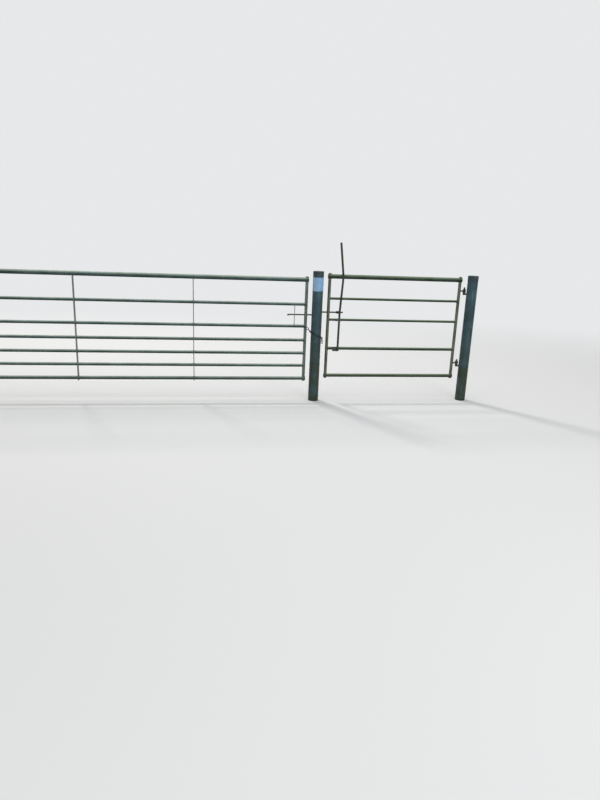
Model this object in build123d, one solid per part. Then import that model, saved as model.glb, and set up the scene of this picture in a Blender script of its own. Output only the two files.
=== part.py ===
from build123d import *
import math
import os

# Galvanised steel gateway across a track: a seven-rail field gate and a five-rail bridle gate that
# both close on one shared post. Millimetres. The origin is the centre of the shared post's foot, at
# ground level. +X runs along the gateway towards the bridle gate, +Y is the way both gates open.

# Posts
post_diameter = 114.3
post_height = 1427.0
cap_crown = 6.0
cap_skirt = 51.0
cap_wall = 1.2
cap_clearance = 0.3
cap_rim_radius = 4.0
band_below_cap = 8.0
band_height = 145.0
band_thickness = 1.2

# Welded pieces are separate solids, this far apart
weld_gap = 0.2

# Field gate: heights are of the rails' centres, spaces run from the bottom rail up, and a rise is
# measured up from the rail or the pivot that carries the piece
field_length = 3660.0
field_closing_x = -111.0
field_bottom_height = 236.0
field_spaces = [149.0, 141.0, 147.0, 155.0, 241.0, 266.0]
field_top_diameter = 48.3
field_rail_diameter = 33.7
field_bottom_diameter = 38.0
stile_diameter = 33.7
stile_top_nub = 9.0
stile_bottom_nub = 8.0
tube_edge = 1.0
rail_overrun = 1.5
notch_trim = 6.0
stay_count = 2
stay_thickness = 8.0
stay_depth = 50.0
stay_foot = 8.0
stay_foot_round = 4.0
stay_top_inset = 10.0

# Bridle gate
bridle_length = 1500.0
bridle_closing_x = 140.0
bridle_bottom_height = 272.0
bridle_spaces = [312.0, 322.0, 233.0, 239.0]
bridle_top_diameter = 48.3
bridle_upper_diameter = 26.9
bridle_middle_diameter = 33.7
bridle_bottom_diameter = 38.0

# Hinges
hinge_offset = 60.0
post_offset = 60.0
pin_diameter = 19.0
pin_clearance = 0.5
pin_length = 62.0
pin_chamfer = 2.4
shoulder_gap = 1.0
eye_wall = 8.0
eye_height = 40.0
eye_chamfer = 1.5
eye_shank_diameter = 16.0
hook_arm_diameter = 20.0
hook_knuckle_diameter = 27.0
hook_knuckle_height = 24.0
hook_knuckle_chamfer = 2.0
field_hinge_insets = [74.0, 135.0]
bridle_hinge_insets = [156.0, 120.0]

# Bolts and the staples that keep them, on the shared post's far side
bolt_diameter = 16.0
bolt_chamfer = 2.0
bolt_clearance = 0.5
stop_gap = 5.0
staple_bar = 8.0
staple_room = 6.0
staple_offset = 20.0
staple_bend = 9.0
field_bolt_rise = 127.0
field_bolt_length = 284.0
field_bolt_handle = 55.0
field_bolt_bend = 20.0
latch_bolt_rise = 82.0
latch_bolt_length = 275.0

# Strap that guides the field bolt
strap_to_stile = 125.0
strap_thickness = 5.0
strap_depth = 30.0

# Latch lever: a cranked flat bar in front of the bridle gate
lever_clearance = 5.0
lever_width = 22.0
lever_thickness = 8.0
lever_pivot_x = 260.0
lever_pivot_rise = 6.0
lever_heel = 18.0
lever_knee_rise = 395.0
lever_knee_shift = 2.0
lever_bow_rise = 785.0
lever_bow_shift = 24.0
lever_top_rise = 1140.0
lever_top_shift = -20.0
lever_knee_radius = 900.0
lever_bow_radius = 420.0
pivot_pin_diameter = 12.0
drive_pin_diameter = 10.0
pin_head_diameter = 20.0
pin_head_thickness = 4.0
slot_length = 18.0

# Plate under the lever's pivot and the block that the lever drives
pivot_plate_width = 75.0
pivot_plate_height = 49.0
pivot_plate_thickness = 6.0
pivot_plate_side = 18.0
pivot_plate_top = 13.0
pivot_plate_round = 8.0
drive_block_width = 48.0
drive_block_height = 26.0
drive_block_edge = 16.0
drive_block_chamfer = 2.6

# Strap round the lever on the third bridle rail
guide_bar_height = 22.0
guide_bar_thickness = 5.0
guide_bar_bend = 4.0
latch_throw = 26.0

# Chain and its stud
chain_wire = 6.0
link_inner_length = 28.5
link_inner_width = 10.0
link_slack = 1.0
link_count = 9
leaning_links = 3
chain_fall = 90.0
chain_post_gap = 0.5
end_link_inner_length = 40.0
end_link_inner_width = 16.0
end_link_slope = 37.0
end_link_y = 30.0
stud_diameter = 10.0
stud_length = 45.0
stud_slack = 1.0
stud_drop = 7.0
stud_round = 2.5
chain_staple_bar = 7.0
chain_staple_half_height = 15.0
chain_staple_shift = -1.0

# Places worked out from the sizes above
post_radius = post_diameter / 2
stile_radius = stile_diameter / 2
bolt_radius = bolt_diameter / 2
leaf_y = post_radius + stop_gap + bolt_radius
cap_bottom = post_height - cap_skirt
band_bottom = cap_bottom - band_below_cap - band_height
field_hanging_x = field_closing_x - field_length
field_pin_x = field_hanging_x - hinge_offset
field_post_x = field_pin_x - post_offset
bridle_hanging_x = bridle_closing_x + bridle_length
bridle_pin_x = bridle_hanging_x + hinge_offset
bridle_post_x = bridle_pin_x + post_offset


def rail_heights(bottom, spaces):
    """Rail centre heights from the bottom rail up."""
    heights = [bottom]
    for space in spaces:
        heights.append(heights[-1] + space)
    return heights


def hinge_heights(heights, insets):
    """Heights of a leaf's eyes: above its bottom rail and below its top rail."""
    return [heights[0] + insets[0], heights[-1] - insets[1]]


field_heights = rail_heights(field_bottom_height, field_spaces)
middle_rails = len(field_spaces) - 1
field_diameters = [field_bottom_diameter] + [field_rail_diameter] * middle_rails + [field_top_diameter]
bridle_heights = rail_heights(bridle_bottom_height, bridle_spaces)
bridle_diameters = [
    bridle_bottom_diameter,
    bridle_middle_diameter,
    bridle_upper_diameter,
    bridle_upper_diameter,
    bridle_top_diameter,
]
field_hinge_heights = hinge_heights(field_heights, field_hinge_insets)
bridle_hinge_heights = hinge_heights(bridle_heights, bridle_hinge_insets)
field_bolt_height = field_heights[-3] + field_bolt_rise
latch_bolt_height = bridle_heights[2] + latch_bolt_rise
lever_pivot_height = bridle_heights[1] + lever_pivot_rise
lever_knee_height = lever_pivot_height + lever_knee_rise
lever_bow_height = lever_pivot_height + lever_bow_rise
lever_top_height = lever_pivot_height + lever_top_rise
lever_y = leaf_y - bridle_top_diameter / 2 - lever_clearance - lever_thickness / 2


def rod(start, end, diameter):
    """Round bar between two points."""
    run = Vector(*end) - Vector(*start)
    bar = Cylinder(diameter / 2, run.length, align=(Align.CENTER, Align.CENTER, Align.MIN))
    return Plane(origin=start, z_dir=run) * bar


def box(x_range, y_range, z_range):
    """Box between two corners."""
    sizes = [high - low for low, high in (x_range, y_range, z_range)]
    corner = Pos(x_range[0], y_range[0], z_range[0])
    return corner * Box(*sizes, align=(Align.MIN, Align.MIN, Align.MIN))


def disc(radius, height):
    """Upright round bar that stands on the plane Z = 0."""
    return Cylinder(radius, height, align=(Align.CENTER, Align.CENTER, Align.MIN))


def cross_bar(x, height, reach, diameter):
    """Round bar along X in the leaves' plane, reaching as far both ways from x."""
    return rod((x - reach, leaf_y, height), (x + reach, leaf_y, height), diameter)


def stile_room(x, height, length):
    """Room for a stile and the gap of its weld, around a height."""
    return Pos(x, leaf_y, height) * Cylinder(stile_radius + weld_gap, length)


# Posts

def post(x):
    """Round post standing on its flat foot."""
    return Pos(x, 0, 0) * disc(post_radius, post_height)


def post_cap(x):
    """Cap pushed over the top of a post: flat crown with a rounded rim, and a skirt down the tube."""
    bore_radius = post_radius + cap_clearance
    shell = disc(bore_radius + cap_wall, cap_skirt + cap_crown)
    shell = fillet(shell.edges().group_by(Axis.Z)[-1], cap_rim_radius)
    return Pos(x, 0, cap_bottom) * (shell - disc(bore_radius, cap_skirt))


def marker_band():
    """Pale band wrapped round the shared post."""
    inner = post_radius + weld_gap
    ring = Circle(inner + band_thickness) - Circle(inner)
    return Pos(0, 0, band_bottom) * extrude(ring, band_height)


def beside_post(solid, x):
    """Cut a piece back to a post's surface."""
    return solid - Pos(x, 0, 0) * disc(post_radius + weld_gap, post_height)


def hinge_hook(post_x, pin_x, height):
    """Arm from the post to below the eye, bent up into the hinge pin."""
    arm_height = height - eye_height / 2 - shoulder_gap - hook_knuckle_height / 2
    arm = rod((post_x, 0, arm_height), (pin_x, leaf_y, arm_height), hook_arm_diameter)
    knuckle = Cylinder(hook_knuckle_diameter / 2, hook_knuckle_height)
    knuckle = chamfer(knuckle.edges().filter_by(GeomType.CIRCLE), hook_knuckle_chamfer)
    knuckle = Pos(pin_x, leaf_y, arm_height) * knuckle
    top = arm_height + hook_knuckle_height / 2 + pin_length
    pin = rod((pin_x, leaf_y, arm_height), (pin_x, leaf_y, top), pin_diameter)
    pin = chamfer(pin.edges().group_by(Axis.Z)[-1], pin_chamfer)
    return beside_post(arm, post_x) + knuckle + pin


def hinge_eye(stile_x, pin_x, height):
    """Ring round the hinge pin on a shank that is welded to the hanging stile."""
    bore = pin_diameter / 2 + pin_clearance
    shank = rod((stile_x, leaf_y, height), (pin_x, leaf_y, height), eye_shank_diameter)
    shank = shank - stile_room(stile_x, height, eye_height)
    ring = Cylinder(bore + eye_wall, eye_height)
    ring = chamfer(ring.edges().filter_by(GeomType.CIRCLE), eye_chamfer)
    eye = shank + Pos(pin_x, leaf_y, height) * ring
    return eye - Pos(pin_x, leaf_y, height) * Cylinder(bore, eye_height)


def bolt_staple(x, height):
    """U of round bar on the post's far side, open along X for the bolt."""
    reach = leaf_y + bolt_radius + staple_room + staple_bar / 2
    half = bolt_radius + staple_room + staple_bar / 2
    low = height - half
    high = height + half
    corners = [(x, 0, low), (x, reach, low), (x, reach, high), (x, 0, high)]
    path = FilletPolyline(*corners, radius=staple_bend)
    bar = sweep(Plane(origin=path @ 0, z_dir=path % 0) * Circle(staple_bar / 2), path)
    return beside_post(bar, 0)


# Gate leaves

def stile(x, bottom, top, bolt_height=None):
    """Upright tube of a leaf, with a bore where a bolt runs through it."""
    upright = rod((x, leaf_y, bottom), (x, leaf_y, top), stile_diameter)
    upright = chamfer(upright.edges().filter_by(GeomType.CIRCLE), tube_edge)
    if bolt_height is None:
        return upright
    return upright - cross_bar(x, bolt_height, stile_diameter, bolt_diameter + 2 * bolt_clearance)


def rail(x_from, x_to, height, diameter):
    """Rail between two stiles: a wide one is threaded on them, a narrow one is notched to them."""
    low, high = sorted((x_from, x_to))
    if diameter > stile_diameter:
        low = low - stile_radius - rail_overrun
        high = high + stile_radius + rail_overrun
    else:
        low = low + notch_trim
        high = high - notch_trim
    tube = rod((low, leaf_y, height), (high, leaf_y, height), diameter)
    if diameter > stile_diameter:
        tube = chamfer(tube.edges().filter_by(GeomType.CIRCLE), tube_edge)
    for x in (x_from, x_to):
        tube = tube - stile_room(x, height, 2 * diameter)
    return tube


def stay(x):
    """Flat upright bar, edge on to the front, punched for the rails that pass through it."""
    bottom = field_heights[0] - field_bottom_diameter / 2 - stay_foot
    depth = (leaf_y - stay_depth / 2, leaf_y + stay_depth / 2)
    top = field_heights[-1] - stay_top_inset
    bar = box((x - stay_thickness / 2, x + stay_thickness / 2), depth, (bottom, top))
    foot_corners = bar.edges().filter_by(Axis.X).group_by(Axis.Z)[0]
    bar = fillet(foot_corners, stay_foot_round)
    for height, diameter in zip(field_heights, field_diameters):
        bar = bar - cross_bar(x, height, stay_thickness, diameter + 2 * weld_gap)
    return max(bar.solids(), key=lambda solid: solid.volume)


def bolt_strap():
    """Flat strap between the second and third rails with a bore for the field bolt."""
    x = field_closing_x - strap_to_stile
    depth = (leaf_y - strap_depth / 2, leaf_y + strap_depth / 2)
    rails = field_heights[-3:-1]
    strap = box((x - strap_thickness / 2, x + strap_thickness / 2), depth, (rails[0], rails[1]))
    for height in rails:
        strap = strap - cross_bar(x, height, strap_thickness, field_rail_diameter + 2 * weld_gap)
    return strap - cross_bar(x, field_bolt_height, strap_thickness, bolt_diameter + 2 * bolt_clearance)


def field_bolt():
    """Straight bolt whose rear end is bent towards the front as its handle."""
    tip = -staple_offset - staple_bar / 2 - staple_room
    tail = tip - field_bolt_length
    corners = [(tip, leaf_y, field_bolt_height), (tail, leaf_y, field_bolt_height)]
    corners.append((tail, leaf_y - field_bolt_handle, field_bolt_height))
    path = FilletPolyline(*corners, radius=field_bolt_bend)
    bar = sweep(Plane(origin=path @ 0, z_dir=path % 0) * Circle(bolt_radius), path)
    return chamfer(bar.edges().filter_by(GeomType.CIRCLE), bolt_chamfer)


# Latch of the bridle gate

def lever_centre_line():
    """Cranked line of the lever, from its heel to its tip."""
    x = lever_pivot_x
    corners = [
        (x, lever_y, lever_pivot_height - lever_heel),
        (x + lever_knee_shift, lever_y, lever_knee_height),
        (x + lever_bow_shift, lever_y, lever_bow_height),
        (x + lever_top_shift, lever_y, lever_top_height),
    ]
    return FilletPolyline(*corners, radius=[lever_knee_radius, lever_bow_radius])


def lever_x_at(height):
    """Centre of the lever's lower arm at a height below its knee."""
    start = lever_pivot_height - lever_heel
    share = (height - start) / (lever_knee_height - start)
    return lever_pivot_x + lever_knee_shift * share


def latch_lever():
    """Flat bar with its pivot hole near the heel and a slot for the bolt's drive pin."""
    path = lever_centre_line()
    start = Plane(origin=path @ 0, x_dir=(1, 0, 0), z_dir=path % 0)
    bar = sweep(start * Rectangle(lever_width, lever_thickness), path)
    for end in (path @ 0, path @ 1):
        bar = bar + Plane(origin=end, z_dir=(0, 1, 0)) * Cylinder(lever_width / 2, lever_thickness)
    hole = rod(
        (lever_pivot_x, lever_y - lever_thickness, lever_pivot_height),
        (lever_pivot_x, lever_y + lever_thickness, lever_pivot_height),
        pivot_pin_diameter + 2 * bolt_clearance,
    )
    width = drive_pin_diameter + 2 * bolt_clearance
    outline = SlotOverall(slot_length, width, rotation=90)
    middle = (lever_x_at(latch_bolt_height), lever_y, latch_bolt_height)
    front = Plane(origin=middle, x_dir=(1, 0, 0), z_dir=(0, -1, 0))
    slot = extrude(front * outline, lever_thickness, both=True)
    return bar - hole - slot


def headed_pin(x, height, back_y, diameter):
    """Pin that points to the front through the lever, ending in a head clear of it."""
    front = lever_y - lever_thickness / 2 - bolt_clearance
    shank = rod((x, back_y, height), (x, front, height), diameter)
    head = rod((x, front, height), (x, front - pin_head_thickness, height), pin_head_diameter)
    return shank + head


def pivot_bracket():
    """Plate across the front of the second bridle rail that carries the lever's pivot pin."""
    face = leaf_y - bridle_middle_diameter / 2 - weld_gap
    right = lever_pivot_x + pivot_plate_side
    top = lever_pivot_height + pivot_plate_top
    plate = box(
        (right - pivot_plate_width, right),
        (face - pivot_plate_thickness, face),
        (top - pivot_plate_height, top),
    )
    plate = fillet(plate.edges().filter_by(Axis.Y), pivot_plate_round)
    root = face - pivot_plate_thickness / 2
    boss_front = lever_y + lever_thickness / 2 + bolt_clearance
    boss_ends = [(lever_pivot_x, y, lever_pivot_height) for y in (root, boss_front)]
    boss = rod(boss_ends[0], boss_ends[1], pin_head_diameter)
    return plate + boss + headed_pin(lever_pivot_x, lever_pivot_height, root, pivot_pin_diameter)


def latch_bolt():
    """Bolt of the bridle gate with the block and drive pin that the lever moves."""
    tip = staple_offset + staple_bar / 2 + staple_room
    tail = tip + latch_bolt_length
    shaft = rod((tail, leaf_y, latch_bolt_height), (tip, leaf_y, latch_bolt_height), bolt_diameter)
    shaft = chamfer(shaft.edges().filter_by(GeomType.CIRCLE), bolt_chamfer)
    pin_x = lever_x_at(latch_bolt_height)
    right = pin_x + drive_block_edge
    block = box(
        (right - drive_block_width, right),
        (leaf_y - drive_block_height / 2, leaf_y + drive_block_height / 2),
        (latch_bolt_height - drive_block_height / 2, latch_bolt_height + drive_block_height / 2),
    )
    block = chamfer(block.edges().filter_by(Axis.X), drive_block_chamfer)
    return shaft + block + headed_pin(pin_x, latch_bolt_height, leaf_y, drive_pin_diameter)


def lever_guide():
    """Strap from the third bridle rail round the front of the lever, wide enough for its throw."""
    height = bridle_heights[2]
    arm = (height - lever_pivot_height) / (latch_bolt_height - lever_pivot_height)
    x = lever_x_at(height)
    left = x - lever_width / 2 - lever_clearance - latch_throw * arm
    right = x + lever_width / 2 + lever_clearance
    front = lever_y - lever_thickness / 2 - lever_clearance
    bar = guide_bar_thickness
    half = guide_bar_height / 2
    outer = box((left - bar, right + bar), (front - bar, leaf_y), (height - half, height + half))
    outer = fillet(outer.edges().filter_by(Axis.Z).group_by(Axis.Y)[0], guide_bar_bend)
    inner = box((left, right), (front, leaf_y), (height - guide_bar_height, height + guide_bar_height))
    seat = cross_bar((left + right) / 2, height, right - left, bridle_upper_diameter + 2 * weld_gap)
    return outer - inner - seat


# Chain

def chain_link(centre, along, normal, inner_length, inner_width):
    """Oval link: a round wire swept along a slot-shaped loop."""
    plane = Plane(origin=centre, x_dir=along, z_dir=normal)
    bend = (inner_width + chain_wire) / 2
    half = (inner_length - inner_width) / 2
    loop = Wire([
        Line((-half, -bend), (half, -bend)),
        ThreePointArc((half, -bend), (half + bend, 0), (half, bend)),
        Line((half, bend), (-half, bend)),
        ThreePointArc((-half, bend), (-half - bend, 0), (-half, -bend)),
    ])
    section = Plane(origin=(0, -bend, 0), z_dir=(1, 0, 0)) * Circle(chain_wire / 2)
    return plane * sweep(section, loop)


chain_radius = post_radius + chain_post_gap + link_inner_width / 2 + chain_wire
stud_height = field_heights[-3] - stud_drop
link_pitch = link_inner_length - link_slack
slope_rad = math.radians(end_link_slope)
end_link_along = Vector(math.cos(slope_rad), 0, -math.sin(slope_rad))
end_link_crown = end_link_inner_length - stud_diameter / 2 - stud_slack + chain_wire / 2
chain_start = Vector(field_closing_x, end_link_y, stud_height) + end_link_along * end_link_crown
first_link_shift = link_inner_length / 2 - chain_wire / 2 - link_slack
chain_length = first_link_shift + link_pitch * (link_count - 1)


def chain_point(s):
    """Point at a length along the chain: straight to the post, then round its front, falling evenly."""
    distance = math.hypot(chain_start.X, chain_start.Y)
    tangent = math.sqrt(distance ** 2 - chain_radius ** 2)
    touch = math.atan2(chain_start.Y, chain_start.X) + math.acos(chain_radius / distance)
    z = chain_start.Z - chain_fall * s / chain_length
    if s < tangent:
        touch_x = chain_radius * math.cos(touch)
        touch_y = chain_radius * math.sin(touch)
        share = s / tangent
        x = chain_start.X + (touch_x - chain_start.X) * share
        y = chain_start.Y + (touch_y - chain_start.Y) * share
        return Vector(x, y, z)
    angle = touch + (s - tangent) / chain_radius
    return Vector(chain_radius * math.cos(angle), chain_radius * math.sin(angle), z)


def chain_frame(s):
    """Point, run and outward side of the chain at a length along it."""
    step = link_pitch / 4
    along = (chain_point(s + step) - chain_point(s - step)).normalized()
    out = along.cross(Vector(0, 0, 1)).normalized()
    return chain_point(s), along, out


def gate_chain():
    """End link over the stud, links round the post's front, and a free end of two links."""
    stud = Vector(field_closing_x, end_link_y, stud_height)
    middle = stud + end_link_along * (end_link_inner_length / 2 - stud_diameter / 2 - stud_slack)
    links = [chain_link(middle, end_link_along, (0, 1, 0), end_link_inner_length, end_link_inner_width)]
    for index in range(link_count):
        place, along, out = chain_frame(first_link_shift + link_pitch * index)
        upright = out.cross(along)
        lean = slope_rad * max(0.0, 1 - index / leaning_links)
        turn = lean + (math.pi / 2 if index % 2 else 0.0)
        normal = upright * math.cos(turn) - out * math.sin(turn)
        links.append(chain_link(place, along, normal, link_inner_length, link_inner_width))
    crown = place + along * (link_inner_length / 2 + chain_wire / 2)
    down = Vector(0, 0, -1)
    hang = crown + down * (link_inner_length / 2 - chain_wire / 2 - link_slack)
    links.append(chain_link(hang, down, out, link_inner_length, link_inner_width))
    last = hang + down * link_pitch
    links.append(chain_link(last, down, out.cross(down), link_inner_length, link_inner_width))
    return Compound(children=links)


def chain_staple():
    """Upright staple on the post that holds the chain's last running link."""
    place, along, out = chain_frame(chain_length)
    bar = place + along * chain_staple_shift
    side = Vector(bar.X, bar.Y, 0).normalized()
    low = Vector(0, 0, -chain_staple_half_height)
    high = Vector(0, 0, chain_staple_half_height)
    inside = bar - side * (chain_radius - post_radius / 2)
    path = FilletPolyline(inside + low, bar + low, bar + high, inside + high, radius=chain_staple_bar)
    wire = sweep(Plane(origin=path @ 0, z_dir=path % 0) * Circle(chain_staple_bar / 2), path)
    return beside_post(wire, 0)


def chain_stud():
    """Plain stud on the front of the field gate's closing stile."""
    tip = leaf_y - stile_radius - stud_length
    stud = rod((field_closing_x, leaf_y, stud_height), (field_closing_x, tip, stud_height), stud_diameter)
    stud = fillet(stud.edges().group_by(Axis.Y)[0], stud_round)
    return stud - stile_room(field_closing_x, stud_height, 2 * stud_diameter)


def make_parts():
    """Every piece of the gateway by name."""
    parts = {}
    posts = {"centre_post": 0.0, "field_hanging_post": field_post_x, "bridle_hanging_post": bridle_post_x}
    for name, x in posts.items():
        parts[name] = post(x)
        parts[name + "_cap"] = post_cap(x)
    parts["marker_band"] = marker_band()
    for leaf, post_x, pin_x, stile_x, heights in (
        ("field", field_post_x, field_pin_x, field_hanging_x, field_hinge_heights),
        ("bridle", bridle_post_x, bridle_pin_x, bridle_hanging_x, bridle_hinge_heights),
    ):
        for level, height in zip(("bottom", "top"), heights):
            parts[f"{leaf}_{level}_hook"] = hinge_hook(post_x, pin_x, height)
            parts[f"{leaf}_{level}_eye"] = hinge_eye(stile_x, pin_x, height)

    for index, (height, diameter) in enumerate(zip(field_heights, field_diameters)):
        parts[f"field_rail_{index + 1}"] = rail(field_hanging_x, field_closing_x, height, diameter)
    field_foot = field_heights[0] - field_bottom_diameter / 2 - stile_bottom_nub
    field_head = field_heights[-1] + field_top_diameter / 2 + stile_top_nub
    parts["field_hanging_stile"] = stile(field_hanging_x, field_foot, field_head)
    parts["field_closing_stile"] = stile(field_closing_x, field_foot, field_head, field_bolt_height)
    for index in range(stay_count):
        x = field_hanging_x + field_length * (index + 1) / (stay_count + 1)
        parts[f"field_stay_{index + 1}"] = stay(x)
    parts["field_bolt_strap"] = bolt_strap()
    parts["field_bolt"] = field_bolt()
    parts["field_bolt_staple"] = bolt_staple(-staple_offset, field_bolt_height)

    for index, (height, diameter) in enumerate(zip(bridle_heights, bridle_diameters)):
        parts[f"bridle_rail_{index + 1}"] = rail(bridle_closing_x, bridle_hanging_x, height, diameter)
    bridle_foot = bridle_heights[0] - bridle_bottom_diameter / 2 - stile_bottom_nub
    bridle_head = bridle_heights[-1] + bridle_top_diameter / 2 + stile_top_nub
    parts["bridle_hanging_stile"] = stile(bridle_hanging_x, bridle_foot, bridle_head)
    parts["bridle_closing_stile"] = stile(bridle_closing_x, bridle_foot, bridle_head, latch_bolt_height)
    parts["lever_pivot_bracket"] = pivot_bracket()
    parts["lever_guide"] = lever_guide()
    parts["latch_lever"] = latch_lever()
    parts["latch_bolt"] = latch_bolt()
    parts["latch_bolt_staple"] = bolt_staple(staple_offset, latch_bolt_height)

    parts["chain_stud"] = chain_stud()
    parts["chain_staple"] = chain_staple()
    parts["gate_chain"] = gate_chain()
    return parts


os.makedirs("parts", exist_ok=True)
for part_name, shape in make_parts().items():
    export_step(shape, f"parts/{part_name}.step")
    print(part_name, len(shape.solids()), round(shape.volume))
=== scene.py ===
import math

import bpy
import numpy as np
from mathutils import Matrix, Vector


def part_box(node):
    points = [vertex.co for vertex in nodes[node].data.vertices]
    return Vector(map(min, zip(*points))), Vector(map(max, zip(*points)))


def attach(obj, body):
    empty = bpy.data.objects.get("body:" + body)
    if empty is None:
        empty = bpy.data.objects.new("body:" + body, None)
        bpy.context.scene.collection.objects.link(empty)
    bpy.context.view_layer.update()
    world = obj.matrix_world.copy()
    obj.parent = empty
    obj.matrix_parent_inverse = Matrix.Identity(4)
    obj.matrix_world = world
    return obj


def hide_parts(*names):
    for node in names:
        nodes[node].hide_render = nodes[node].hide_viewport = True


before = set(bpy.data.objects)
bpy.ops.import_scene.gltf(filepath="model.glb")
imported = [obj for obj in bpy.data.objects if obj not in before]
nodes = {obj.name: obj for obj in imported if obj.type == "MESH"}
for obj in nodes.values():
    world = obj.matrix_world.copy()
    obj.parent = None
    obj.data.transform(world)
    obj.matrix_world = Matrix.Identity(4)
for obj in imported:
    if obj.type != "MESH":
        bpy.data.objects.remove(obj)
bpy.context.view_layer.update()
print("frame loaded:", len(nodes), "nodes")


# Camera at the photograph's place
cameraView = {
    "place": (-1.179, -6.464, 1.798),
    "yawRight": 9.06,
    "pitchDown": 15.38,
    "roll": 2.27,
    "focalPixels": 598.8,
    "framePixels": 800,
    "sensorWidth": 36.0,
    "clipEnd": 200.0,
}


def placeCamera(view):
    # looks along (sin yaw x cos pitch, cos yaw x cos pitch, -sin pitch), then rolls about that line
    yaw, pitch, roll = (math.radians(view[key]) for key in ("yawRight", "pitchDown", "roll"))
    ahead = np.array([math.sin(yaw) * math.cos(pitch), math.cos(yaw) * math.cos(pitch), -math.sin(pitch)])
    level = np.array([math.cos(yaw), -math.sin(yaw), 0.0])
    above = np.cross(level, ahead)
    right = level * math.cos(roll) + above * math.sin(roll)
    up = above * math.cos(roll) - level * math.sin(roll)
    turned = Matrix(np.column_stack([right, up, -ahead]).tolist()).to_4x4()
    data = bpy.data.cameras.new("gatewayCamera")
    data.sensor_width = view["sensorWidth"]
    data.lens = view["focalPixels"] / view["framePixels"] * view["sensorWidth"]
    data.clip_end = view["clipEnd"]
    camera = bpy.data.objects.new("gatewayCamera", data)
    camera.matrix_world = Matrix.Translation(view["place"]) @ turned
    bpy.context.scene.collection.objects.link(camera)
    bpy.context.scene.camera = camera


placeCamera(cameraView)
print("camera placed")


# Floor, world and lamps
stageLook = {
    "floorColour": (0.80, 0.80, 0.79, 1.0),
    "farColour": (0.80, 0.81, 0.82, 1.0),
    "skyColour": (0.97, 0.985, 1.0, 1.0),
    "floorSize": 60.0,
    "floorCells": 8,
    "floorRough": 0.95,
    "floorGloss": 0.1,
    "fadeShift": (0.64, 0.0, 0.0),
    "fadeScale": (0.6, 1.0, 1.0),
    "fadeFrom": 2.6,
    "fadeTo": 8.0,
    "floorDrop": 0.0005,
    "worldLight": 0.54,
}
keyLamp = {"place": (-6.9, 12.3, 12.6), "aim": (0.0, 0.0, 0.6), "size": 2.4, "power": 1380.0,
           "colour": (1.0, 0.97, 0.92)}
topLamp = {"place": (-0.5, 0.6, 6.5), "aim": (-0.5, 0.0, 0.8), "size": 7.0, "power": 120.0,
           "colour": (0.92, 0.96, 1.0)}
frontLamp = {"place": (2.6, -8.0, 2.6), "aim": (-0.3, 0.0, 0.8), "size": 3.5, "power": 150.0,
             "colour": (0.95, 0.97, 1.0)}
lampNudge = (1e-4, 0.0, 0.0)  # gives a lamp that hangs straight above its aim a side too


def addNode(tree, kind, fields=None, sockets=None):
    # a shader node with its fields and its input sockets set
    node = tree.nodes.new(kind)
    for key, value in (fields or {}).items():
        setattr(node, key, value)
    for key, value in (sockets or {}).items():
        node.inputs[key].default_value = value
    return node


def makeFloor(look):
    # a flat square grid that fades into the far colour with distance from the gateway's middle, where
    # the distance is an oval's: the length of (scale times x, plus the shift, and y)
    line = np.linspace(-look["floorSize"], look["floorSize"], look["floorCells"] + 1)
    x, y = np.meshgrid(line, line, indexing="ij")
    grid = np.stack([x, y, np.full_like(x, -look["floorDrop"])], axis=-1)
    index = np.arange(grid.shape[0] * grid.shape[1]).reshape(grid.shape[:2])
    faces = np.stack([index[:-1, :-1], index[1:, :-1], index[1:, 1:], index[:-1, 1:]], axis=-1)
    mesh = bpy.data.meshes.new("studioFloor")
    mesh.from_pydata(grid.reshape(-1, 3), [], faces.reshape(-1, 4).tolist())
    mesh.update()
    floor = bpy.data.objects.new("studioFloor", mesh)
    bpy.context.scene.collection.objects.link(floor)
    material = bpy.data.materials.new("studioFloor")
    material.use_nodes = True
    tree = material.node_tree
    shader = tree.nodes["Principled BSDF"]
    shader.inputs["Base Color"].default_value = look["floorColour"]
    shader.inputs["Roughness"].default_value = look["floorRough"]
    shader.inputs["Specular IOR Level"].default_value = look["floorGloss"]
    place = addNode(tree, "ShaderNodeTexCoord")
    oval = addNode(tree, "ShaderNodeMapping", None,
                   {"Location": look["fadeShift"], "Scale": look["fadeScale"]})
    reach = addNode(tree, "ShaderNodeVectorMath", {"operation": "LENGTH"})
    fade = addNode(tree, "ShaderNodeMapRange", {"interpolation_type": "SMOOTHSTEP"},
                   {"From Min": look["fadeFrom"], "From Max": look["fadeTo"]})
    far = addNode(tree, "ShaderNodeEmission", None, {"Color": look["farColour"], "Strength": 1.0})
    mix = addNode(tree, "ShaderNodeMixShader")
    tree.links.new(place.outputs["Object"], oval.inputs["Vector"])
    tree.links.new(oval.outputs["Vector"], reach.inputs[0])
    tree.links.new(reach.outputs["Value"], fade.inputs["Value"])
    tree.links.new(fade.outputs["Result"], mix.inputs[0])
    tree.links.new(shader.outputs[0], mix.inputs[1])
    tree.links.new(far.outputs[0], mix.inputs[2])
    tree.links.new(mix.outputs[0], tree.nodes["Material Output"].inputs["Surface"])
    mesh.materials.append(material)


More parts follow.
